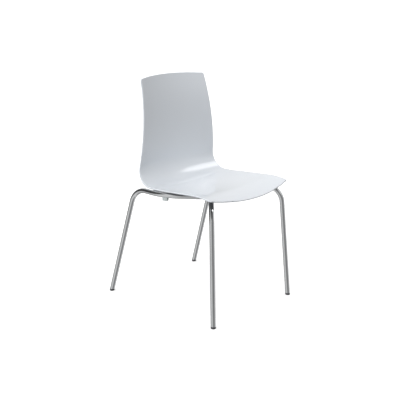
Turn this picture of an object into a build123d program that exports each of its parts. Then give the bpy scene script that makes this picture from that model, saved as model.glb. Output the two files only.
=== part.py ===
"""Stacking chair: one moulded shell on a frame of two bent tubes, welded back to back.

Millimetres, +Z up. The origin is on the floor, midway between the front and
rear feet and on the chair's centre plane. The sitter faces -Y, so the sitter's
left is +X.
"""
import math
import os

from build123d import *

# ---- shell: driving dimensions ------------------------------------------
total_height = 825.0        # floor to the crown of the back
front_reach = 266.0         # origin to the middle of the front lip
corner_setback = 21.5       # front corners, behind the middle of the front lip
corner_radius = 11.0        # rounding of the shell's four corners
top_crown = 4.0             # middle of the top edge above its corners
shell_wall = 5.0

seat_height = 431.0         # centre line of the seat surface above the origin
seat_climb = 0.066          # climb of the seat towards the front, mm per mm
lip_crest = 210.0           # where the seat starts to roll down, ahead of the origin
lip_fall = 0.29             # fall of the front lip, mm per mm
lip_radius = 300.0
bend_reach = 157.0          # where the seat line and the back line would meet
bend_radius = 78.0
lumbar_height = 664.0       # where the two straight stretches of the back would meet
lumbar_reach = 126.0
lumbar_radius = 680.0
back_lean = 0.28            # lean of the upper back, mm per mm

seat_half_width = 209.5
front_narrowing = 2.0       # how much less the half width is at the front corners
top_half_width = 159.0
top_taper = 40.0            # how fast the sides close in at the top
widest_reach = 60.0         # widest place of the seat, ahead of the origin
seat_dish = 14.0            # rise of the side edges over the spine
back_dish = 28.0
dish_ahead = 152.0          # the dish deepens from here ahead of the bend
dish_above = 62.0           # to here above it, along the spine
section_count = 17
trim_excess = 24.0          # the lofted sheet runs past the trimmed lip and top

# ---- frame: driving dimensions ------------------------------------------
tube_diameter = 18.0
tube_wall = 1.5
foot_reach = 259.5          # front and rear feet from the origin

rear_leg_splay = 15.7       # foot outside its knee
rear_knee_outset = 2.6      # knee and rail outside the seat's widest place
rear_knee_reach = 127.5
rear_knee_radius = 75.0
rail_gap = 1.5              # between the tubes and the shell's underside
rail_turn_reach = 25.0      # where the rail turns inwards, ahead of the origin
rail_turn_radius = 180.0
inner_turn_half_span = 124.8    # where the rear tube turns along the front tube
inner_turn_radius = 60.0

front_leg_splay = 22.0      # foot outside its knee
front_knee_inset = 19.9     # knee inside the seat's front corner
front_knee_reach = 228.4
front_knee_rise = 4.5       # knee above the front tube's inner turn
front_knee_radius = 72.0
front_turn_radius = 45.0
weld_reach = 150.0          # where the two tubes touch, ahead of the origin
middle_gap = 2.9            # between the tubes' middle and the shell's underside
middle_radius = 600.0

cross_diameter = 14.0
cross_wall = 1.5
cross_reach = 60.0          # rear cross tube, behind the origin
cross_flat_half = 64.0      # half length of its level middle
cross_bend_radius = 60.0
cross_drop = 6.0            # top of its ends, below the top of the rail

# ---- fixings, glides and stack spacers ----------------------------------
fixing_half_span = 46.0     # screws from the centre plane
front_screw_offset = 24.0   # front screws behind the rear tube's axis
rear_screw_offset = 15.0    # rear screws ahead of the cross tube's axis
plate_width = 26.0
plate_margin = 9.0          # plate beyond the screw and beyond the cross tube's axis
plate_thickness = 3.0
boss_radius = 10.0
boss_length = 6.0
pad_thickness = 2.0         # plastic pad between boss and plate
insert_radius = 4.0
insert_length = 9.0
screw_radius = 2.5
screw_length = 14.0
screw_head_radius = 4.75
screw_head_height = 3.2
socket_across = 4.0         # across the flats of the hexagon socket
socket_depth = 2.2
washer_radius = 6.0
washer_thickness = 1.0
thread_fit = 0.1            # clearance between screw and insert
hole_fit = 0.5              # clearance between screw, plate, pad and washer

glide_height = 8.0
glide_stem_length = 24.0
glide_fit = 0.15            # clearance between a glide's stem and the tube's bore

stack_spacer_length = 20.0
stack_spacer_width = 13.0
stack_spacer_drop = 10.0    # below the rail
stack_spacer_corner = 3.0
pin_radius = 1.75
pin_head_radius = 3.5
pin_head_height = 1.5
pin_grip = 4.0              # how far the pin's shank enters the tube

sides = {"left": 1, "right": -1}
tube_radius = tube_diameter / 2
cross_radius = cross_diameter / 2
half_wall = shell_wall / 2
front_half_width = seat_half_width - front_narrowing
front_knee_half_span = front_half_width - front_knee_inset
rear_knee_half_span = seat_half_width + rear_knee_outset
front_foot_half_span = front_knee_half_span + front_leg_splay
rear_foot_half_span = rear_knee_half_span + rear_leg_splay
front_tube_y = -weld_reach - tube_radius
rear_tube_y = tube_radius - weld_reach
front_turn_half_span = front_knee_half_span - (front_knee_reach + front_tube_y)

# lengths along the spine, from its start ahead of the lip
widest_run = trim_excess + front_reach - widest_reach
bend_run = trim_excess + front_reach + bend_reach
dish_start = bend_run - dish_ahead
dish_end = bend_run + dish_above


def seat_line(y):
    """Height of the spine at y, between the front lip and the bend."""
    return seat_height - seat_climb * y


def ease(t, start, end, end_slope=0.0):
    """Cubic that leaves start level and reaches end with the given slope."""
    rising = t * t * (3 - 2 * t)
    return start + (end - start) * rising + end_slope * (t ** 3 - t ** 2)


def half_width(run):
    """Half width of the shell at a length along the spine."""
    if run < widest_run:
        step = (widest_run - run) / widest_run
        return seat_half_width - (seat_half_width - front_half_width) * step ** 2
    step = (run - widest_run) / (spine_wire.length - widest_run)
    return ease(step, seat_half_width, top_half_width, -top_taper)


def dish(run):
    """Rise of the shell's side edges over the spine at a length along it."""
    step = min(max((run - dish_start) / (dish_end - dish_start), 0.0), 1.0)
    return ease(step, seat_dish, back_dish)


def under_shell(x, y):
    """Height of the shell's underside over (x, y), between the lip and the bend."""
    return seat_line(y) + seat_dish * (x / seat_half_width) ** 2 - shell_wall


def tube_height(x, y):
    """Height of the axis of a tube that runs close under the shell at (x, y)."""
    return under_shell(x, y) - rail_gap - tube_radius


# ---- spine: the shell's centre line, from the front lip over the bend to the top
lip_end = front_reach + trim_excess
top_end = total_height + trim_excess
with BuildLine(Plane.YZ) as spine:
    FilletPolyline(
        (-lip_end, seat_line(-lip_crest) - lip_fall * (lip_end - lip_crest)),
        (-lip_crest, seat_line(-lip_crest)),
        (bend_reach, seat_line(bend_reach)),
        (lumbar_reach, lumbar_height),
        (lumbar_reach + back_lean * (top_end - lumbar_height), top_end),
        radius=[lip_radius, bend_radius, lumbar_radius],
    )
spine_wire = spine.wire()


def shell_section(run):
    """Plane across the spine at a length along it, and the wall's curved centre line on it."""
    origin = spine_wire.position_at(run, PositionMode.LENGTH)
    along = spine_wire.tangent_at(run, PositionMode.LENGTH)
    plane = Plane(origin=origin, x_dir=(1, 0, 0), z_dir=-along)
    reach = half_width(run) - half_wall
    edge_height = dish(run) - half_wall
    wall_line = ThreePointArc((-reach, edge_height), (0, -half_wall), (reach, edge_height))
    return plane, wall_line


def corner_cut(plane, centre_x, centre_y, direction):
    """Solid through the shell that leaves a rounded corner about the given centre."""
    reach = 2 * corner_radius
    far_x = centre_x + math.copysign(reach, centre_x)
    far_y = centre_y + direction * reach
    with BuildPart() as cutter:
        with BuildSketch(plane):
            with BuildLine():
                Polyline(
                    (centre_x, centre_y),
                    (far_x, centre_y),
                    (far_x, far_y),
                    (centre_x, far_y),
                    close=True,
                )
            make_face()
            with Locations((centre_x, centre_y)):
                Circle(corner_radius, mode=Mode.SUBTRACT)
        extrude(amount=2 * total_height, both=True)
    return cutter.part


lip_arc_radius = (front_half_width ** 2 + corner_setback ** 2) / (2 * corner_setback)
top_arc_radius = (top_half_width ** 2 + top_crown ** 2) / (2 * top_crown)

# shell corners: centres of the rounding, tangent to the side and to the lip or the top
lip_corner_x = half_width(trim_excess + corner_setback) - corner_radius
lip_corner_y = lip_arc_radius - front_reach - math.sqrt(
    (lip_arc_radius - corner_radius) ** 2 - lip_corner_x ** 2
)
top_corner_x = half_width(spine_wire.length - trim_excess - corner_radius) - corner_radius
top_corner_z = total_height - top_arc_radius + math.sqrt(
    (top_arc_radius - corner_radius) ** 2 - top_corner_x ** 2
)

# ---- fixings: two rows of two screws, and the plates' edges in each row ----
front_screw_y = rear_tube_y + front_screw_offset
rear_screw_y = cross_reach - rear_screw_offset
fixing_rows = {
    "front": (front_screw_y, rear_tube_y, front_screw_y + plate_margin),
    "rear": (rear_screw_y, rear_screw_y - plate_margin, cross_reach + plate_margin),
}
boss_rise = seat_dish * (fixing_half_span / seat_half_width) ** 2


def boss_foot(screw_y):
    """Height of the lower end of the bosses in the row at screw_y."""
    return seat_line(screw_y) + boss_rise - shell_wall - boss_length


def plate_foot(screw_y):
    """Height of the lower face of the fixing plates in the row at screw_y."""
    return boss_foot(screw_y) - pad_thickness - plate_thickness


fixing_points = [
    (side * fixing_half_span, screw_y)
    for screw_y, plate_start, plate_end in fixing_rows.values()
    for side in sides.values()
]

# ---- seat shell -----------------------------------------------------------
with BuildPart() as seat_shell:
    for index in range(section_count):
        section_plane, wall_line = shell_section(spine_wire.length * index / (section_count - 1))
        with BuildSketch(section_plane):
            SlotArc(wall_line, shell_wall)
    loft()
    with BuildSketch(Plane.XY):
        with Locations((0, lip_arc_radius - front_reach)):
            Circle(lip_arc_radius)
    extrude(amount=2 * total_height, mode=Mode.INTERSECT)
    with BuildSketch(Plane.XZ):
        with Locations((0, total_height - top_arc_radius)):
            Circle(top_arc_radius)
    extrude(amount=total_height, both=True, mode=Mode.INTERSECT)
    for side in sides.values():
        add(corner_cut(Plane.XY, side * lip_corner_x, lip_corner_y, -1), mode=Mode.SUBTRACT)
        add(corner_cut(Plane.XZ, side * top_corner_x, top_corner_z, 1), mode=Mode.SUBTRACT)
    for x, y in fixing_points:
        with BuildSketch(Plane.XY.offset(boss_foot(y))):
            with Locations((x, y)):
                Circle(boss_radius)
        extrude(amount=boss_length + half_wall)
    for x, y in fixing_points:
        with BuildSketch(Plane.XY.offset(boss_foot(y))):
            with Locations((x, y)):
                Circle(insert_radius)
        extrude(amount=insert_length, mode=Mode.SUBTRACT)


# ---- frame: bends of the two tubes on the left side ---------------------------
rail_height = tube_height(seat_half_width, 0)
front_turn_height = tube_height(front_turn_half_span, front_tube_y)
middle_height = under_shell(0, rear_tube_y) - middle_gap - tube_radius
knees = {
    "front": Vector(front_knee_half_span, -front_knee_reach, front_turn_height + front_knee_rise),
    "rear": Vector(rear_knee_half_span, rear_knee_reach, rail_height),
}
feet = {
    "front": Vector(front_foot_half_span, -foot_reach, 0),
    "rear": Vector(rear_foot_half_span, foot_reach, 0),
}
front_turns = [
    (knees["front"], front_knee_radius),
    (Vector(front_turn_half_span, front_tube_y, front_turn_height), front_turn_radius),
]
rear_turns = [
    (knees["rear"], rear_knee_radius),
    (Vector(rear_knee_half_span, -rail_turn_reach, rail_height), rail_turn_radius),
    (
        Vector(inner_turn_half_span, rear_tube_y, tube_height(inner_turn_half_span, rear_tube_y)),
        inner_turn_radius,
    ),
]

# middle of the rail's turn, where the stack spacer sits
spacer_heading = math.atan2(rear_knee_half_span - inner_turn_half_span, -rail_turn_reach - rear_tube_y) / 2
spacer_inset = rail_turn_radius * (1 / math.cos(spacer_heading) - 1)
spacer_half_span = rear_knee_half_span - spacer_inset * math.cos(spacer_heading)
spacer_y = spacer_inset * math.sin(spacer_heading) - rail_turn_reach
spacer_foot = rail_height - tube_radius - stack_spacer_drop


def mirrored(point, side):
    """The same place on the given side of the chair."""
    return Vector(side * point.X, point.Y, point.Z)


def leg_direction(side, end):
    """Unit direction of a leg, downwards."""
    return mirrored(feet[end] - knees[end], side).normalized()


def leg_bar(end, turns, inner_radius=0.0):
    """Bar or tube from the left foot over the bends under the seat to the right foot."""
    below_floor = 2 * tube_diameter
    start = feet[end] + leg_direction(1, end) * below_floor
    middle_y = turns[-1][0].Y
    points = [start] + [point for point, radius in turns]
    radii = [radius for point, radius in turns]
    with BuildPart() as bar:
        with BuildLine() as route:
            FilletPolyline(
                *points,
                Vector(0, middle_y, middle_height),
                *[mirrored(point, -1) for point in reversed(points)],
                radius=radii + [middle_radius] + radii[::-1],
            )
        with BuildSketch(Plane(origin=start, z_dir=-leg_direction(1, end))):
            Circle(tube_radius)
            if inner_radius > 0:
                Circle(inner_radius, mode=Mode.SUBTRACT)
        sweep(path=route.wire())
        split(bisect_by=Plane.XY.offset(glide_height), keep=Keep.TOP)
    return bar.part


def rear_leg_tube():
    """Rear legs, side rails and the run behind the front tube, with the pins' holes."""
    with BuildPart() as tube:
        add(leg_bar("rear", rear_turns, tube_radius - tube_wall))
        with BuildSketch(Plane.XY.offset(rail_height - tube_diameter)):
            with Locations((-spacer_half_span, spacer_y), (spacer_half_span, spacer_y)):
                Circle(pin_radius)
        extrude(amount=tube_diameter, mode=Mode.SUBTRACT)
    return tube.part


rear_bar = leg_bar("rear", rear_turns)


def cross_tube():
    """Bowed tube between the rails, level and low in the middle under the shell."""
    end_z = rail_height + tube_radius - cross_drop - cross_radius
    low_z = plate_foot(rear_screw_y) - cross_radius
    with BuildPart() as tube:
        with BuildLine() as route:
            FilletPolyline(
                (-rear_knee_half_span, cross_reach, end_z),
                (-cross_flat_half, cross_reach, low_z),
                (cross_flat_half, cross_reach, low_z),
                (rear_knee_half_span, cross_reach, end_z),
                radius=[cross_bend_radius, cross_bend_radius],
            )
        with BuildSketch(Plane(origin=route.wire() @ 0, z_dir=route.wire() % 0)):
            Circle(cross_radius)
            Circle(cross_radius - cross_wall, mode=Mode.SUBTRACT)
        sweep(path=route.wire())
        add(rear_bar, mode=Mode.SUBTRACT)
    return tube.part


def ring(x, y, z, outer, inner, height):
    """Upright disc with a hole, standing on height z."""
    with BuildPart() as disc:
        with BuildSketch(Plane.XY.offset(z)):
            with Locations((x, y)):
                Circle(outer)
                Circle(inner, mode=Mode.SUBTRACT)
        extrude(amount=height)
    return disc.part


def fixing_plate(side, screw_y, start_y, end_y):
    """Flat plate welded to a tube, with the screw's hole beside the tube."""
    with BuildPart() as plate:
        with BuildSketch(Plane.XY.offset(plate_foot(screw_y))):
            with Locations((side * fixing_half_span, (start_y + end_y) / 2)):
                RectangleRounded(plate_width, end_y - start_y, plate_margin / 2)
            with Locations((side * fixing_half_span, screw_y)):
                Circle(screw_radius + hole_fit, mode=Mode.SUBTRACT)
        extrude(amount=plate_thickness)
        add(rear_bar, mode=Mode.SUBTRACT)
    return plate.part


def shell_screw(x, y):
    """Button-head screw with a hexagon socket, driven from below."""
    head_top = plate_foot(y) - washer_thickness
    with BuildPart() as screw:
        with BuildSketch(Plane.XY.offset(head_top)):
            with Locations((x, y)):
                Circle(screw_radius)
        extrude(amount=screw_length)
        with BuildSketch(Plane.XY.offset(head_top - screw_head_height)):
            with Locations((x, y)):
                Circle(screw_head_radius)
        extrude(amount=screw_head_height)
        rim = screw.edges().group_by(Axis.Z)[0]
        fillet(rim, radius=screw_head_height / 2)
        with BuildSketch(Plane.XY.offset(head_top - screw_head_height)):
            with Locations((x, y)):
                RegularPolygon(socket_across / 2, 6, major_radius=False)
        extrude(amount=socket_depth, mode=Mode.SUBTRACT)
    return screw.part


def glide(side, end):
    """Plastic tip of a leg, cut level with the floor, with a stem inside the tube."""
    down = leg_direction(side, end)
    foot = mirrored(feet[end], side)
    stem_radius = tube_radius - tube_wall - glide_fit
    with BuildPart() as tip:
        with BuildSketch(Plane(origin=foot - down * tube_diameter, z_dir=down)):
            Circle(tube_radius)
        extrude(amount=2 * tube_diameter)
        split(bisect_by=Plane.XY.offset(glide_height), keep=Keep.BOTTOM)
        with BuildSketch(Plane(origin=foot - down * (glide_stem_length + glide_height), z_dir=down)):
            Circle(stem_radius)
        extrude(amount=glide_stem_length + glide_height / 2)
        split(bisect_by=Plane.XY, keep=Keep.TOP)
    return tip.part


def stack_spacer(side):
    """Block that hugs the rail's turn from below and keeps stacked chairs apart."""
    place = Location(
        (side * spacer_half_span, spacer_y, spacer_foot),
        (0, 0, -side * math.degrees(spacer_heading)),
    )
    with BuildPart() as spacer:
        with BuildSketch(Plane(place)):
            RectangleRounded(stack_spacer_width, stack_spacer_length, stack_spacer_corner)
        extrude(amount=stack_spacer_drop + tube_radius / 2)
        add(rear_bar, mode=Mode.SUBTRACT)
        with BuildSketch(Plane(place)):
            Circle(pin_radius)
        extrude(amount=stack_spacer_drop + tube_radius, mode=Mode.SUBTRACT)
        with BuildSketch(Plane(place)):
            Circle(pin_head_radius)
        extrude(amount=pin_head_height, mode=Mode.SUBTRACT)
    return spacer.part


def spacer_pin(side):
    """Headed pin that holds a stack spacer to its rail."""
    with BuildPart() as pin:
        with BuildSketch(Plane.XY.offset(spacer_foot)):
            with Locations((side * spacer_half_span, spacer_y)):
                Circle(pin_radius)
        extrude(amount=stack_spacer_drop + pin_grip)
        with BuildSketch(Plane.XY.offset(spacer_foot)):
            with Locations((side * spacer_half_span, spacer_y)):
                Circle(pin_head_radius)
        extrude(amount=pin_head_height)
    return pin.part


# ---- nodes ------------------------------------------------------------------
nodes = {
    "seat_shell": seat_shell.part,
    "front_leg_tube": leg_bar("front", front_turns, tube_radius - tube_wall),
    "rear_leg_tube": rear_leg_tube(),
    "rear_cross_tube": cross_tube(),
}
for side_name, side in sides.items():
    nodes[f"{side_name}_stack_spacer"] = stack_spacer(side)
    for end, (screw_y, plate_start, plate_end) in fixing_rows.items():
        nodes[f"{end}_{side_name}_glide"] = glide(side, end)
        nodes[f"{end}_{side_name}_fixing_plate"] = fixing_plate(side, screw_y, plate_start, plate_end)
nodes["boss_pads"] = Compound(children=[
    ring(x, y, boss_foot(y) - pad_thickness, boss_radius, screw_radius + hole_fit, pad_thickness)
    for x, y in fixing_points
])
nodes["threaded_inserts"] = Compound(children=[
    ring(x, y, boss_foot(y), insert_radius, screw_radius + thread_fit, insert_length)
    for x, y in fixing_points
])
nodes["screw_washers"] = Compound(children=[
    ring(x, y, plate_foot(y) - washer_thickness, washer_radius, screw_radius + hole_fit, washer_thickness)
    for x, y in fixing_points
])
nodes["shell_screws"] = Compound(children=[shell_screw(x, y) for x, y in fixing_points])
nodes["spacer_pins"] = Compound(children=[spacer_pin(side) for side in sides.values()])

os.makedirs("parts", exist_ok=True)
for node_name, part in nodes.items():
    part.label = node_name
    export_step(part, f"parts/{node_name}.step")
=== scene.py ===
import math

import bmesh
import bpy
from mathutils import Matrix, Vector


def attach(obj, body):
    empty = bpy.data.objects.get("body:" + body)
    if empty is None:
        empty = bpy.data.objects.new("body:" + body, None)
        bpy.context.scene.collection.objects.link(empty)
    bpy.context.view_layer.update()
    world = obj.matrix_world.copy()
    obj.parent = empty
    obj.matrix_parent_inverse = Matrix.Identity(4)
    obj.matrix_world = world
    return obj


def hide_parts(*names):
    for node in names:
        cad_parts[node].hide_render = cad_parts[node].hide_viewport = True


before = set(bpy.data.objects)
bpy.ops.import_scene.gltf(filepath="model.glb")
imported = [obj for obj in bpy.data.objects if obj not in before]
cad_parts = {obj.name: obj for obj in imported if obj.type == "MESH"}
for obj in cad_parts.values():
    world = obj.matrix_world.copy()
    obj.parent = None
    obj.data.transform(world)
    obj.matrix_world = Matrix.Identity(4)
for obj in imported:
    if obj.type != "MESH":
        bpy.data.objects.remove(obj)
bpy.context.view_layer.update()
mm = 0.001


class Sock:  # a socket that can be used in sums and products
    def __init__(self, graph, socket):
        self.graph = graph
        self.socket = socket

    def maths(self, operation, *values):
        return self.graph.node("ShaderNodeMath", {"operation": operation}, dict(enumerate(values)))

    def __add__(self, other):
        return self.maths("ADD", self, other)

    def __radd__(self, other):
        return self.maths("ADD", other, self)

    def __sub__(self, other):
        return self.maths("SUBTRACT", self, other)

    def __rsub__(self, other):
        return self.maths("SUBTRACT", other, self)

    def __mul__(self, other):
        return self.maths("MULTIPLY", self, other)

    def __rmul__(self, other):
        return self.maths("MULTIPLY", other, self)

    def __truediv__(self, other):
        return self.maths("DIVIDE", self, other)

    def __pow__(self, other):
        return self.maths("POWER", self, other)


class Graph:  # a node tree, geometry or shader, with one way to add a node
    def __init__(self, tree):
        self.tree = tree

    def node(self, kind, settings=None, inputs=None, out=0):  # out: one output, or several in brackets
        made = self.tree.nodes.new(kind)
        for key, value in (settings or {}).items():
            if key == "stops":
                for stop, (place, colour) in zip(made.color_ramp.elements, value):
                    stop.position = place
                    stop.color = colour
            else:
                setattr(made, key, value)
        for key, value in (inputs or {}).items():
            if isinstance(value, Sock):
                self.tree.links.new(value.socket, made.inputs[key])
            else:
                made.inputs[key].default_value = value
        if isinstance(out, tuple):
            return [Sock(self, made.outputs[each]) for each in out]
        return Sock(self, made.outputs[out])

    def vector(self, operation, a, b):
        return self.node("ShaderNodeVectorMath", {"operation": operation}, {0: a, 1: b})

    def scaled(self, a, factor):
        return self.node("ShaderNodeVectorMath", {"operation": "SCALE"}, {0: a, "Scale": factor})

    def mixColour(self, factor, a, b):
        return self.node("ShaderNodeMix", {"data_type": "RGBA"}, {0: factor, 6: a, 7: b}, out=2)

    def end(self, kind, inputs):
        made = self.tree.nodes.new(kind)
        for key, value in inputs.items():
            self.tree.links.new(value.socket, made.inputs[key])


def newGeoTree(name, sizes):  # sizes: label -> default value, float or int
    tree = bpy.data.node_groups.new(name, "GeometryNodeTree")
    tree.interface.new_socket("Geometry", in_out="INPUT", socket_type="NodeSocketGeometry")
    for label, value in sizes.items():
        kind = "NodeSocketInt" if isinstance(value, int) else "NodeSocketFloat"
        tree.interface.new_socket(label, in_out="INPUT", socket_type=kind).default_value = value
    tree.interface.new_socket("Material", in_out="INPUT", socket_type="NodeSocketMaterial")
    tree.interface.new_socket("Geometry", in_out="OUTPUT", socket_type="NodeSocketGeometry")
    graph = Graph(tree)
    start = tree.nodes.new("NodeGroupInput")
    return graph, {s.name: Sock(graph, s) for s in start.outputs if s.name}


def closeGeoTree(graph, geometry, material):  # every tree ends the same way
    real = graph.node("GeometryNodeRealizeInstances", {}, {"Geometry": geometry})
    smooth = graph.node("GeometryNodeSetShadeSmooth", {}, {"Geometry": real})
    done = graph.node("GeometryNodeSetMaterial", {}, {"Geometry": smooth, "Material": material})
    graph.end("NodeGroupOutput", {0: done})


def grow(name, graph, sizes, material, points, attributes=None):
    # runs a tree on a line or a set of points and returns a plain mesh object
    host = bpy.data.meshes.new(name + "Host")
    edges = [(i, i + 1) for i in range(len(points) - 1)] if attributes else []
    host.from_pydata([Vector(p) for p in points], edges, [])
    for label, values in (attributes or {}).items():
        host.attributes.new(label, "FLOAT", "POINT").data.foreach_set("value", values)
    holder = bpy.data.objects.new(name + "Holder", host)
    bpy.context.scene.collection.objects.link(holder)
    modifier = holder.modifiers.new("grow", "NODES")
    modifier.node_group = graph.tree
    for item in graph.tree.interface.items_tree:
        if item.in_out == "INPUT" and item.name in sizes:
            modifier[item.identifier] = sizes[item.name]
        elif item.in_out == "INPUT" and item.name == "Material":
            modifier[item.identifier] = material
    depsgraph = bpy.context.evaluated_depsgraph_get()
    mesh = bpy.data.meshes.new_from_object(holder.evaluated_get(depsgraph), depsgraph=depsgraph)
    bpy.data.objects.remove(holder)
    mesh.polygons.foreach_set("material_index", [0] * len(mesh.polygons))
    return addPiece(name, mesh, material)


def addPiece(name, mesh, material=None):
    piece = bpy.data.objects.new(name, mesh)
    mesh.name = name
    bpy.context.scene.collection.objects.link(piece)
    if material:
        mesh.materials.clear()
        mesh.materials.append(material)
    return piece


def finishPiece(piece, slot, *nodes):
    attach(piece, "root")
    if nodes:
        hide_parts(*nodes)


def skin(name, groups, material, sharp=35):
    # each group is a list of rings with equal counts, closed with a fan at both ends
    bm = bmesh.new()
    for rings in groups:
        rows = [[bm.verts.new(p) for p in ring] for ring in rings]
        count = len(rows[0])
        for low, high in zip(rows, rows[1:]):
            for i in range(count):
                j = (i + 1) % count
                bm.faces.new((low[i], low[j], high[j], high[i]))
        bm.faces.new(list(reversed(rows[0])))
        bm.faces.new(rows[-1])
    bmesh.ops.recalc_face_normals(bm, faces=bm.faces)
    mesh = bpy.data.meshes.new(name)
    bm.to_mesh(mesh)
    bm.free()
    mesh.shade_smooth()
    mesh.set_sharp_from_angle(angle=math.radians(sharp))
    return addPiece(name, mesh, material)


def circle(centre, radius, count, squeeze=1.0, turn=0.0):
    # level ring; squeeze stretches it along the direction given by turn
    ring = []
    for i in range(count):
        angle = 2 * math.pi * i / count
        along = math.cos(angle) * radius * squeeze
        across = math.sin(angle) * radius
        x = along * math.cos(turn) - across * math.sin(turn)
        y = along * math.sin(turn) + across * math.cos(turn)
        ring.append(Vector((centre[0] + x, centre[1] + y, centre[2])))
    return ring


def newMaterial(name):
    material = bpy.data.materials.new(name)
    material.use_nodes = True
    material.node_tree.nodes.clear()
    graph = Graph(material.node_tree)
    place = graph.node("ShaderNodeTexCoord", {}, {}, out="Object")
    return material, graph, place


def closeMaterial(material, graph, inputs, bump=None):
    if bump:
        height, strength, distance = bump
        inputs["Normal"] = graph.node("ShaderNodeBump", {}, {
            "Height": height, "Strength": strength, "Distance": distance})
    shader = graph.node("ShaderNodeBsdfPrincipled", {}, inputs)
    graph.end("ShaderNodeOutputMaterial", {0: shader})
    return material


def ramp(graph, value, low, high):  # 0 below low, 1 above high, smooth between
    return graph.node("ShaderNodeMapRange", {"interpolation_type": "SMOOTHSTEP"}, {
        "Value": value, "From Min": low, "From Max": high})


def noiseAt(graph, place, scale, detail=3.0):
    return graph.node("ShaderNodeTexNoise", {}, {"Vector": place, "Scale": scale, "Detail": detail})


shellLook = {
    "tone": (0.765, 0.80, 0.84, 1), "toneDeep": (0.75, 0.785, 0.83, 1),
    "roughness": 0.14, "wearRoughness": 0.08, "fineRoughness": 0.02,
    "coat": 0.3, "coatRoughness": 0.06, "translucence": 0.08, "translucentDepth": 0.004,
    "cloudScale": 5.0, "fineScale": 420.0, "wearScale": 60.0,
    "rippleScale": 22.0, "rippleStrength": 0.05, "rippleHeight": 0.0006,
}


def glossWhite():
    look = shellLook
    material, graph, place = newMaterial("shellGloss")
    cloud = noiseAt(graph, place, look["cloudScale"])
    fine = noiseAt(graph, place, look["fineScale"], 2.0)
    wear = noiseAt(graph, place, look["wearScale"], 6.0)
    ripple = noiseAt(graph, place, look["rippleScale"], 1.0)
    return closeMaterial(material, graph, {
        "Base Color": graph.mixColour(cloud, look["tone"], look["toneDeep"]),
        "Roughness": look["roughness"] + look["wearRoughness"] * wear + look["fineRoughness"] * fine,
        "Coat Weight": look["coat"],
        "Coat Roughness": look["coatRoughness"],
        "Subsurface Weight": look["translucence"],
        "Subsurface Radius": (look["translucentDepth"],) * 3,
    }, (ripple, look["rippleStrength"], look["rippleHeight"]))


chromeLook = {
    "tone": (0.66, 0.67, 0.68, 1), "haze": (0.58, 0.59, 0.60, 1),
    "roughness": 0.07, "smearRoughness": 0.07, "polishRoughness": 0.02,
    "smearScale": 30.0, "polishScale": 900.0, "polishStrength": 0.02, "polishHeight": 0.0002,
}


def polishedChrome():
    look = chromeLook
    material, graph, place = newMaterial("polishedChrome")
    smear = noiseAt(graph, place, look["smearScale"], 4.0)
    polish = noiseAt(graph, place, look["polishScale"], 2.0)
    return closeMaterial(material, graph, {
        "Base Color": graph.mixColour(smear, look["tone"], look["haze"]),
        "Metallic": 1.0,
        "Roughness": look["roughness"] + look["smearRoughness"] * smear + look["polishRoughness"] * polish,
    }, (polish, look["polishStrength"], look["polishHeight"]))


def moulded(name, tone, toneDeep, roughness, grain=700.0, extra=None):  # plastic as it leaves the mould
    material, graph, place = newMaterial(name)
    speck = noiseAt(graph, place, grain)
    cloud = noiseAt(graph, place, 90.0)
    inputs = {
        "Base Color": graph.mixColour(cloud, tone, toneDeep),
        "Roughness": roughness + 0.15 * speck,
    }
    inputs.update(extra or {})
    return closeMaterial(material, graph, inputs, (speck, 0.25, 0.0003))


def plated(name, tone, toneDeep, roughness):  # small metal pieces with a dull, smeared finish
    material, graph, place = newMaterial(name)
    smear = noiseAt(graph, place, 160.0, 5.0)
    return closeMaterial(material, graph, {
        "Base Color": graph.mixColour(smear, tone, toneDeep),
        "Metallic": 1.0,
        "Roughness": roughness + 0.2 * smear,
    }, (smear, 0.08, 0.0002))


shellGloss = glossWhite()
chrome = polishedChrome()
glideGrey = moulded("glideGrey", (0.045, 0.045, 0.05, 1), (0.09, 0.09, 0.095, 1), 0.42)
milkyPlastic = moulded("milkyPlastic", (0.74, 0.79, 0.79, 1), (0.66, 0.72, 0.72, 1), 0.3, 500.0, {
    "Subsurface Weight": 0.4, "Subsurface Radius": (0.006, 0.006, 0.006), "Transmission Weight": 0.25})
naturalPlastic = moulded("naturalPlastic", (0.7, 0.7, 0.68, 1), (0.62, 0.62, 0.6, 1), 0.45)
zincPlate = plated("zincPlate", (0.6, 0.61, 0.63, 1), (0.42, 0.43, 0.46, 1), 0.22)
brass = plated("brass", (0.72, 0.53, 0.22, 1), (0.55, 0.38, 0.15, 1), 0.28)
print("materials made")


cameraSettings = {
    "aim": (-0.0008, 0.0038, 0.3665), "azimuth": -46.243, "elevation": 15.515,
    "distance": 2.806, "lens": 67.56,
}


def placeCamera():
    azimuth = math.radians(cameraSettings["azimuth"])
    elevation = math.radians(cameraSettings["elevation"])
    away = Vector((math.sin(azimuth) * math.cos(elevation),
                   -math.cos(azimuth) * math.cos(elevation), math.sin(elevation)))
    camera = bpy.data.objects.new("camera", bpy.data.cameras.new("camera"))
    camera.data.lens = cameraSettings["lens"]
    camera.location = Vector(cameraSettings["aim"]) + away * cameraSettings["distance"]
    camera.rotation_euler = (-away).to_track_quat("-Z", "Y").to_euler()
    bpy.context.scene.collection.objects.link(camera)
    bpy.context.scene.camera = camera


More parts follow.
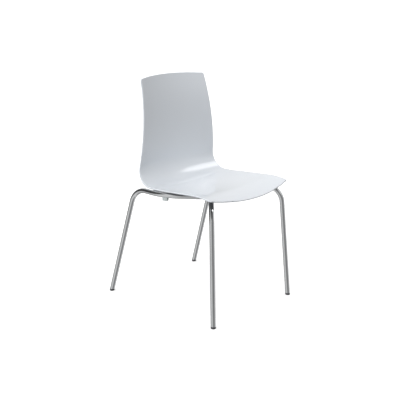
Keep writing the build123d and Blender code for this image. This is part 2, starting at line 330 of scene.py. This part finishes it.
studio = {
    "floorSize": 600.0, "floorTone": (0.9, 0.9, 0.9, 1), "floorGlow": 0.4,
    "backdrop": 1.1, "horizonBlur": 0.02, "horizon": 0.03, "zenith": 1.15, "spread": 3.0,
    "west": 2.5, "westSpread": 2.0, "ground": 0.6, "groundFall": 5.0,
    "frontAim": (0.0, -0.5, 0.87), "frontStart": 0.2, "frontFull": 1.0, "front": 0.4,
    "bandLow": 0.24, "bandHigh": 0.86, "bandCount": 2.0, "bandTurn": 4.1,
    "ceiling": 0.88, "ceilingStart": 0.03, "ceilingFull": 0.25,
    "darkPatches": (  # aim, start, full, depth
        ((-0.36, -0.6, 0.7), 0.72, 0.84, 0.97), ((-0.45, 0.7, 0.35), 0.72, 0.88, 0.92),
    ),
    "lampAim": (0.36, -0.42, 0.83), "lampStart": 0.942, "lampFull": 0.956, "lamp": 4.5,
}


def buildStudio():
    size = studio["floorSize"] / 2
    mesh = bpy.data.meshes.new("floor")
    corners = [(-size, -size, 0), (size, -size, 0), (size, size, 0), (-size, size, 0)]
    mesh.from_pydata(corners, [], [(0, 1, 2, 3)])
    floor = addPiece("floor", mesh)
    material, graph = newMaterial("paleFloor")[:2]
    closeMaterial(material, graph, {
        "Base Color": studio["floorTone"], "Roughness": 0.9,
        "Emission Color": (1, 1, 1, 1), "Emission Strength": studio["floorGlow"]})
    mesh.materials.append(material)
    floor.visible_glossy = False  # the world's lower half lights the chair instead
    floor.visible_diffuse = False
    buildWorld()


def spot(graph, direction, aim, start, full):  # 1 in a round patch of the sky, 0 outside it
    aim = Vector(aim).normalized()
    towards = graph.node("ShaderNodeVectorMath", {"operation": "DOT_PRODUCT"},
                         {0: direction, 1: aim}, out="Value")
    return ramp(graph, towards, start, full)


def buildWorld():
    s = studio
    world = bpy.data.worlds.new("studioWorld")
    world.use_nodes = True
    world.node_tree.nodes.clear()
    graph = Graph(world.node_tree)
    direction = graph.node("ShaderNodeTexCoord", {}, {}, out="Generated")
    x, y, z = graph.node("ShaderNodeSeparateXYZ", {}, {0: direction}, out=(0, 1, 2))
    up = z.maths("MAXIMUM", z, 0.0)
    west = x.maths("MAXIMUM", x * -1.0, 0.0)
    above = ramp(graph, z, -s["horizonBlur"], s["horizonBlur"])
    sky = s["horizon"] + s["zenith"] * up ** s["spread"] + s["west"] * west ** s["westSpread"]
    sky = sky + s["front"] * spot(graph, direction, s["frontAim"], s["frontStart"], s["frontFull"])
    ground = s["ground"] * (1.0 + z.maths("MINIMUM", z, 0.0)) ** s["groundFall"]
    diffuse = sky * above + ground * (1.0 - above)

    # what shiny pieces see: soft upright bands, a pale ceiling, dark patches and one bright lamp
    bearing = x.maths("ARCTAN2", x, y)
    bands = 0.5 + 0.5 * bearing.maths("SINE", bearing * s["bandCount"] + s["bandTurn"])
    walls = s["bandLow"] + (s["bandHigh"] - s["bandLow"]) * bands
    high = ramp(graph, up, s["ceilingStart"], s["ceilingFull"])
    glossy = walls * (1.0 - high) + s["ceiling"] * high
    for aim, start, full, depth in s["darkPatches"]:
        glossy = glossy * (1.0 - depth * spot(graph, direction, aim, start, full))
    glossy = glossy + s["lamp"] * spot(graph, direction, s["lampAim"], s["lampStart"], s["lampFull"])
    isGlossy, isCamera = graph.node("ShaderNodeLightPath", out=("Is Glossy Ray", "Is Camera Ray"))
    level = diffuse * (1.0 - isGlossy) + glossy * isGlossy
    level = level * (1.0 - isCamera) + isCamera * s["backdrop"]
    shown = graph.node("ShaderNodeBackground", {}, {"Color": (1, 1, 1, 1), "Strength": level})
    graph.end("ShaderNodeOutputWorld", {0: shown})
    bpy.context.scene.world = world
    bpy.context.scene.view_settings.view_transform = "Standard"


placeCamera()
buildStudio()
print("camera, floor and lights placed")


shell = {  # millimetres, the tree's inputs
    "Corner Setback": 21.5, "Corner Radius": 11.0, "Top Crown": 4.0, "Wall": 5.0,
    "Front Half Width": 207.5, "Seat Half Width": 209.5, "Top Half Width": 159.0,
    "Top Taper": 40.0, "Widest Run": 230.0, "Seat Dish": 14.0, "Back Dish": 28.0,
    "Dish Start": 295.0, "Dish End": 509.0, "Columns": 81, "Rows": 161,
}
spineShape = {  # millimetres, the centre line from lip to top and how finely it is divided
    "totalHeight": 825.0, "frontReach": 266.0, "bendSteps": 96, "cornerRows": 9.0, "rimSteps": 8,
    "seatHeight": 431.0, "seatClimb": 0.066, "lipCrest": 210.0, "lipFall": 0.29, "lipRadius": 300.0,
    "bendReach": 157.0, "bendRadius": 78.0, "lumbarHeight": 664.0, "lumbarReach": 126.0,
    "lumbarRadius": 680.0, "backLean": 0.28, "excess": 24.0,
}


def seatLine(y):
    return spineShape["seatHeight"] - spineShape["seatClimb"] * y


def spinePoints():  # corners of the centre line, and the bend radius at each
    s = spineShape
    lipEnd = s["frontReach"] + s["excess"]
    topEnd = s["totalHeight"] + s["excess"]
    crest = seatLine(-s["lipCrest"])
    corners = [
        (-lipEnd, crest - s["lipFall"] * (lipEnd - s["lipCrest"])),
        (-s["lipCrest"], crest),
        (s["bendReach"], seatLine(s["bendReach"])),
        (s["lumbarReach"], s["lumbarHeight"]),
        (s["lumbarReach"] + s["backLean"] * (topEnd - s["lumbarHeight"]), topEnd),
    ]
    radii = [0.0, s["lipRadius"], s["bendRadius"], s["lumbarRadius"], 0.0]
    return [(0, y, z) for y, z in corners], radii


def shellTree():
    # a grid laid over the spine: across it is an arc, along it the wall's centre line
    graph, given = newGeoTree("seatShell", shell)
    half = given["Wall"] / 2.0
    line = graph.node("GeometryNodeMeshToCurve", {}, {"Mesh": given["Geometry"]})
    radius = graph.node("GeometryNodeInputNamedAttribute", {"data_type": "FLOAT"}, {"Name": "bendRadius"})
    spine = graph.node("GeometryNodeFilletCurve", {"mode": "POLY"}, {
        "Curve": line, "Count": spineShape["bendSteps"], "Radius": radius, "Limit Radius": False})
    length = graph.node("GeometryNodeCurveLength", {}, {"Curve": spine})
    grid = graph.node("GeometryNodeMeshGrid", {}, {
        "Size X": 2.0, "Size Y": 1.0, "Vertices X": given["Columns"], "Vertices Y": given["Rows"]})
    at = graph.node("GeometryNodeInputPosition")
    u, row = graph.node("ShaderNodeSeparateXYZ", {}, {0: at}, out=(0, 1))
    v = row + 0.5
    u2 = u * u

    # where the trimmed lip and top cross the spine, inset by half the wall
    lipSlope = spineShape["lipFall"]
    lipStep = math.hypot(1.0, lipSlope)
    topStep = math.hypot(1.0, spineShape["backLean"])
    lipStart = (spineShape["excess"] + given["Corner Setback"] * u2
                + given["Seat Dish"] * (lipSlope / lipStep) * u2) * lipStep + half
    topEnd = length - (spineShape["excess"] + given["Top Crown"] * u2
                       + given["Back Dish"] * (spineShape["backLean"] / topStep) * u2) * topStep - half

    # rows crowd towards the ends so that the rounded corners stay round
    corner = given["Corner Radius"] - half
    band = spineShape["cornerRows"] / shell["Rows"]
    fromFront = (v / band).maths("MINIMUM", v / band, 1.0)
    fromTop = ((1.0 - v) / band).maths("MINIMUM", (1.0 - v) / band, 1.0)
    middle = ((v - band) / (1.0 - 2 * band)).maths("MAXIMUM", (v - band) / (1.0 - 2 * band), 0.0)
    middle = middle.maths("MINIMUM", middle, 1.0)
    frontStep = 1.0 - fromFront.maths("COSINE", fromFront * (math.pi / 2))
    topStepIn = 1.0 - fromTop.maths("COSINE", fromTop * (math.pi / 2))
    along = (lipStart + corner * frontStep
             + middle * (topEnd - lipStart - corner * 2.0)
             + corner * (1.0 - topStepIn))

    # half width at this length along the spine, narrowed in the rounded corners
    frontPart = (given["Widest Run"] - along) / given["Widest Run"]
    frontPart = frontPart.maths("MAXIMUM", frontPart, 0.0)
    backPart = (along - given["Widest Run"]) / (length - given["Widest Run"])
    backPart = backPart.maths("MAXIMUM", backPart, 0.0)
    rising = backPart * backPart * (3.0 - 2.0 * backPart)
    width = (given["Seat Half Width"]
             - (given["Seat Half Width"] - given["Front Half Width"]) * frontPart * frontPart
             + (given["Top Half Width"] - given["Seat Half Width"]) * rising
             - given["Top Taper"] * (backPart * backPart * backPart - backPart * backPart)) - half
    dishPart = (along - given["Dish Start"]) / (given["Dish End"] - given["Dish Start"])
    dishPart = dishPart.maths("MAXIMUM", dishPart, 0.0)
    dishPart = dishPart.maths("MINIMUM", dishPart, 1.0)
    dish = given["Seat Dish"] + (given["Back Dish"] - given["Seat Dish"]) * (
        dishPart * dishPart * (3.0 - 2.0 * dishPart))
    frontCut = (1.0 - fromFront.maths("SINE", fromFront * (math.pi / 2)))
    topCut = (1.0 - fromTop.maths("SINE", fromTop * (math.pi / 2)))
    across = u * (width - corner * frontCut - corner * topCut)
    arcRadius = (width * width + dish * dish) / (2.0 * dish)
    inside = arcRadius * arcRadius - across * across
    rise = arcRadius - inside.maths("SQRT", inside) - half

    # place: on the spine, out across it and up its normal
    onSpine, tangent = graph.node("GeometryNodeSampleCurve", {"mode": "LENGTH"},
                                  {"Curves": spine, "Length": along}, out=("Position", "Tangent"))
    normal = graph.vector("CROSS_PRODUCT", (1.0, 0.0, 0.0), tangent)
    sideways = graph.node("ShaderNodeCombineXYZ", {}, {"X": across})
    target = graph.vector("ADD", onSpine, graph.scaled(normal, rise))
    target = graph.scaled(graph.vector("ADD", target, sideways), mm)
    laid = graph.node("GeometryNodeSetPosition", {}, {"Geometry": grid, "Position": target})
    closeGeoTree(graph, laid, given["Material"])
    return graph


def giveWall(piece, wall, rimSteps):
    # both faces of the wall and a full round rim, from its centre sheet
    bm = bmesh.new()
    bm.from_mesh(piece.data)
    bm.normal_update()
    half = wall / 2
    upper = {v: bm.verts.new(v.co + v.normal * half) for v in list(bm.verts)}
    centre = list(upper)
    lower = {v: bm.verts.new(v.co - v.normal * half) for v in centre}
    sheet = list(bm.faces)
    rim = [e for e in bm.edges if e.is_boundary]
    for face in sheet:
        bm.faces.new([upper[v] for v in face.verts])
        bm.faces.new([lower[v] for v in reversed(face.verts)])
    outward = {}
    for edge in rim:
        face = edge.link_faces[0]
        middle = (edge.verts[0].co + edge.verts[1].co) / 2
        push = (edge.verts[1].co - edge.verts[0].co).cross(face.normal).normalized()
        if push.dot(middle - face.calc_center_median()) < 0:
            push.negate()
        for v in edge.verts:
            outward[v] = outward.get(v, Vector()) + push
    rings = {}
    for v, push in outward.items():
        push = (push - v.normal * push.dot(v.normal)).normalized()
        ring = [upper[v]]
        for k in range(1, rimSteps):
            angle = math.pi * k / rimSteps
            lift = v.normal * (half * math.cos(angle))
            ring.append(bm.verts.new(v.co + lift + push * (half * math.sin(angle))))
        rings[v] = ring + [lower[v]]
    for edge in rim:
        a, b = edge.verts
        for k in range(rimSteps):
            bm.faces.new((rings[a][k], rings[b][k], rings[b][k + 1], rings[a][k + 1]))
    bmesh.ops.delete(bm, geom=centre, context="VERTS")
    bmesh.ops.recalc_face_normals(bm, faces=bm.faces)
    bm.to_mesh(piece.data)
    bm.free()
    piece.data.shade_smooth()


def buildShell():
    points, radii = spinePoints()
    piece = grow("moulded_shell", shellTree(), shell, shellGloss, points, {"bendRadius": radii})
    giveWall(piece, shell["Wall"] * mm, spineShape["rimSteps"])
    return piece


seatShell = buildShell()
finishPiece(seatShell, "shell", "seat_shell")
print("seat shell made, faces:", len(seatShell.data.polygons))

tubes = {  # millimetres; the tubes follow the shell's underside
    "Radius": 9.0, "Sides": 40, "Bend Steps": 28,
    "gap": 1.5, "middleGap": 2.9, "middleRadius": 600.0, "glideTop": 8.0,
    "frontFoot": (209.6, -259.5),
    "frontKnee": (187.6, -228.4), "frontKneeRise": 4.5, "frontKneeRadius": 72.0,
    "frontTurn": (118.2, -159.0), "frontTurnRadius": 45.0,
    "rearFoot": (227.8, 259.5), "rearKnee": (212.1, 127.5), "rearKneeRadius": 75.0,
    "railTurn": (212.1, -25.0), "railTurnRadius": 180.0,
    "innerTurn": (124.8, -141.0), "innerTurnRadius": 60.0,
}
crossTube = {
    "Radius": 7.0, "Sides": 32, "Bend Steps": 16,
    "reach": 60.0, "flatHalf": 64.0, "bend": 60.0, "drop": 6.0,
}
fixings = {
    "halfSpan": 46.0, "frontY": -117.0, "rearY": 45.0, "bossLength": 6.0, "bossRadius": 10.0,
    "padThickness": 2.0, "plateThickness": 3.0, "plateHalf": 13.0, "bossFlare": 2.5,
}


def underShell(x, y):
    dish = shell["Seat Dish"] * (x / shell["Seat Half Width"]) ** 2
    return seatLine(y) + dish - shell["Wall"]


def bossFoot(y):
    dish = shell["Seat Dish"] * (fixings["halfSpan"] / shell["Seat Half Width"]) ** 2
    return seatLine(y) + dish - shell["Wall"] - fixings["bossLength"]


def plateFoot(y):
    return bossFoot(y) - fixings["padThickness"] - fixings["plateThickness"]


def tubeTree():
    # a line with a radius at each corner becomes a bent round bar
    sizes = {label: tubes[label] for label in ("Radius", "Sides", "Bend Steps")}
    graph, given = newGeoTree("bentTube", sizes)
    line = graph.node("GeometryNodeMeshToCurve", {}, {"Mesh": given["Geometry"]})
    radius = graph.node("GeometryNodeInputNamedAttribute", {"data_type": "FLOAT"}, {"Name": "bendRadius"})
    bent = graph.node("GeometryNodeFilletCurve", {"mode": "POLY"}, {
        "Curve": line, "Count": given["Bend Steps"], "Radius": radius * mm, "Limit Radius": False})
    ring = graph.node("GeometryNodeCurvePrimitiveCircle", {}, {
        "Resolution": given["Sides"], "Radius": given["Radius"] * mm})
    bar = graph.node("GeometryNodeCurveToMesh", {}, {
        "Curve": bent, "Profile Curve": ring, "Fill Caps": True})
    closeGeoTree(graph, bar, given["Material"])
    return graph


def mirroredRoute(half, middle):  # half: list of (point, radius) on the left, from the foot inwards
    other = [((-x, y, z), radius) for (x, y, z), radius in reversed(half)]
    return half + [middle] + other


def layTube(name, tree, sizes, route, cutHeight=None):
    points = [Vector(point) * mm for point, radius in route]
    piece = grow(name, tree, sizes, chrome, points, {"bendRadius": [radius for point, radius in route]})
    if cutHeight is not None:
        bm = bmesh.new()
        bm.from_mesh(piece.data)
        around = list(bm.verts) + list(bm.edges) + list(bm.faces)
        bmesh.ops.bisect_plane(bm, geom=around, plane_co=(0, 0, cutHeight * mm),
                               plane_no=(0, 0, 1), clear_inner=True)
        bmesh.ops.holes_fill(bm, edges=[e for e in bm.edges if e.is_boundary])
        bmesh.ops.recalc_face_normals(bm, faces=bm.faces)
        bm.to_mesh(piece.data)
        bm.free()
    piece.data.set_sharp_from_angle(angle=math.radians(50))
    return piece


def below(foot, knee, depth=40.0):  # the leg's line carried on under the floor
    line = Vector(foot) - Vector(knee)
    return tuple(Vector(foot) + line.normalized() * depth)


def buildFrame():
    t = tubes
    drop = t["gap"] + t["Radius"]
    middle = underShell(0, t["innerTurn"][1]) - t["middleGap"] - t["Radius"]
    frontTurn = (*t["frontTurn"], underShell(*t["frontTurn"]) - drop)
    frontKnee = (*t["frontKnee"], frontTurn[2] + t["frontKneeRise"])
    rail = underShell(shell["Seat Half Width"], 0) - drop
    rearKnee = (*t["rearKnee"], rail)
    feet = {"front": (*t["frontFoot"], 0.0), "rear": (*t["rearFoot"], 0.0)}
    tree = tubeTree()
    front = mirroredRoute([
        (below(feet["front"], frontKnee), 0.0), (frontKnee, t["frontKneeRadius"]),
        (frontTurn, t["frontTurnRadius"]),
    ], ((0.0, t["frontTurn"][1], middle), t["middleRadius"]))
    rear = mirroredRoute([
        (below(feet["rear"], rearKnee), 0.0), (rearKnee, t["rearKneeRadius"]),
        ((*t["railTurn"], rail), t["railTurnRadius"]),
        ((*t["innerTurn"], underShell(*t["innerTurn"]) - drop), t["innerTurnRadius"]),
    ], ((0.0, t["innerTurn"][1], middle), t["middleRadius"]))
    finishPiece(layTube("front_legs", tree, t, front, t["glideTop"]), "tube", "front_leg_tube")
    finishPiece(layTube("rear_legs", tree, t, rear, t["glideTop"]), "tube", "rear_leg_tube")

    c = crossTube
    endZ = rail + t["Radius"] - c["drop"] - c["Radius"]
    lowZ = plateFoot(fixings["rearY"]) - c["Radius"]
    endX = t["rearKnee"][0] - t["Radius"] / 2
    cross = mirroredRoute([
        ((endX, c["reach"], endZ), 0.0), ((c["flatHalf"], c["reach"], lowZ), c["bend"]),
    ], ((0.0, c["reach"], lowZ), 0.0))
    finishPiece(layTube("cross_bar", tree, c, cross), "tube", "rear_cross_tube")
    return feet, {"front": frontKnee, "rear": rearKnee}, middle, rail, endZ


feet, knees, middleHeight, railHeight, crossEnd = buildFrame()
print("frame tubes made")

weld = {  # millimetres; sinks are below the tubes' middle at a stitch, below the plate at a plate
    "Bead": 1.9, "Squash": 0.72, "smallest": 0.86, "largest": 1.1, "seed": 0,
    "step": 1.5, "stitch": 26.0, "stitchPlaces": (-84.0, 0.0, 84.0), "stitchSink": 3.6,
    "jointBeads": 28, "plateInset": 3.0, "frontSink": 0.4, "frontStep": 0.3,
    "rearSink": 1.1, "rearEdges": (-4.0, 4.0),
}


def weldTree():
    # overlapping flattened drops, one at each point
    graph, given = newGeoTree("weldBead", {label: weld[label] for label in ("Bead", "Squash")})
    drop = graph.node("GeometryNodeMeshIcoSphere", {}, {"Radius": given["Bead"] * mm, "Subdivisions": 3})
    flat = graph.node("ShaderNodeCombineXYZ", {}, {"X": 1.0, "Y": 1.0, "Z": given["Squash"]})
    uneven = graph.node("FunctionNodeRandomValue", {"data_type": "FLOAT"},
                        {2: weld["smallest"], 3: weld["largest"], "Seed": weld["seed"]}, out=1)
    placed = graph.node("GeometryNodeInstanceOnPoints", {}, {
        "Points": given["Geometry"], "Instance": drop, "Scale": graph.scaled(flat, uneven)})
    closeGeoTree(graph, placed, given["Material"])
    return graph


def weldPoints():
    w, t, c = weld, tubes, crossTube
    seam = (t["frontTurn"][1] + t["innerTurn"][1]) / 2
    inner = underShell(*t["frontTurn"]) - t["gap"] - t["Radius"]
    slope = (inner - middleHeight) / t["frontTurn"][0]
    steps = int(w["stitch"] / w["step"])
    spots = []
    for place in w["stitchPlaces"]:
        for i in range(steps):
            x = place + (i - steps / 2) * w["step"]
            spots.append((x, seam, middleHeight + abs(x) * slope - w["stitchSink"]))
    for side in (-1, 1):
        for i in range(w["jointBeads"]):  # where the cross tube meets the rail
            angle = 2 * math.pi * i / w["jointBeads"]
            height = crossEnd + c["Radius"] * math.cos(angle) - railHeight
            if abs(height) < t["Radius"]:
                x = t["rearKnee"][0] - math.sqrt(t["Radius"] ** 2 - height ** 2)
                spots.append((side * x, c["reach"] + c["Radius"] * math.sin(angle), railHeight + height))
        half = fixings["plateHalf"] - w["plateInset"]
        for i in range(int(2 * half / w["step"])):
            x = side * (fixings["halfSpan"] - half + i * w["step"])
            front = t["innerTurn"][1] + t["Radius"]
            spots.append((x, front + w["frontStep"], plateFoot(fixings["frontY"]) - w["frontSink"]))
            for edge in w["rearEdges"]:
                spots.append((x, c["reach"] + edge, plateFoot(fixings["rearY"]) - w["rearSink"]))
    return [Vector(spot) * mm for spot in spots]


finishPiece(grow("weld_beads", weldTree(), weld, zincPlate, weldPoints()), "tube")
print("welds made")

tip = {  # millimetres; heights of the rings and how far each is from the full radius
    "stemLength": 24.0, "stemRadius": 7.35, "count": 48,
    "profile": ((0.0, -1.1), (0.35, -0.45), (1.0, 0.0), (5.6, 0.0), (5.9, -0.3), (6.3, -0.3), (6.6, 0.0),
                (7.5, 0.0), (7.9, -0.35), (8.0, -0.8)),
}


def buildTip(name, side, end):
    # a moulded cap, level with the floor, leaning with its leg
    foot = Vector(feet[end])
    line = Vector(knees[end]) - foot
    foot.x *= side
    line.x *= side
    turn = math.atan2(line.y, line.x)
    squeeze = line.length / line.z
    rings = []
    for height, step in tip["profile"]:
        centre = foot + line * (height / line.z)
        rings.append(circle(centre * mm, (tubes["Radius"] + step) * mm, tip["count"], squeeze, turn))
    for height in (tip["profile"][-1][0], tip["stemLength"] + tip["profile"][-1][0]):
        centre = foot + line * (height / line.z)
        rings.append(circle(centre * mm, tip["stemRadius"] * mm, tip["count"], squeeze, turn))
    piece = skin(name, [rings], glideGrey)
    finishPiece(piece, "glide", name.replace("_cap", "_glide"))


for sideName, side in (("left", 1), ("right", -1)):
    for end in ("front", "rear"):
        buildTip(f"{end}_{sideName}_cap", side, end)
print("glides made")


bosses = {"chamfer": 0.6, "flareSteps": 6, "count": 48}


def buildBosses():
    # short posts under the seat, flared where they join it
    f, b = fixings, bosses
    groups = []
    for y in (f["frontY"], f["rearY"]):
        for x in (-f["halfSpan"], f["halfSpan"]):
            low = bossFoot(y)
            top = low + f["bossLength"]
            shape = [(low, -b["chamfer"]), (low + b["chamfer"], 0.0), (top - f["bossFlare"], 0.0)]
            for k in range(1, b["flareSteps"] + 1):
                angle = math.pi / 2 * k / b["flareSteps"]
                height = top - f["bossFlare"] * (1 - math.sin(angle))
                shape.append((height, f["bossFlare"] * (1 - math.cos(angle))))
            shape.append((top + shell["Wall"] / 2, f["bossFlare"]))
            groups.append([circle((x * mm, y * mm, z * mm), (f["bossRadius"] + step) * mm, b["count"])
                           for z, step in shape])
    return skin("seat_bosses", groups, shellGloss)


finishPiece(buildBosses(), "shell")
print("bosses made")

keptNodes = {  # CAD nodes that show as they are, and what they are made of
    "front_left_fixing_plate": chrome, "front_right_fixing_plate": chrome,
    "rear_left_fixing_plate": chrome, "rear_right_fixing_plate": chrome,
    "left_stack_spacer": milkyPlastic, "right_stack_spacer": milkyPlastic,
    "boss_pads": naturalPlastic, "spacer_pins": naturalPlastic,
    "threaded_inserts": brass, "screw_washers": zincPlate, "shell_screws": zincPlate,
}


def dressNodes():
    for name, material in keptNodes.items():
        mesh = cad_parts[name].data
        mesh.materials.clear()
        mesh.materials.append(material)


dressNodes()
print("kept nodes dressed")
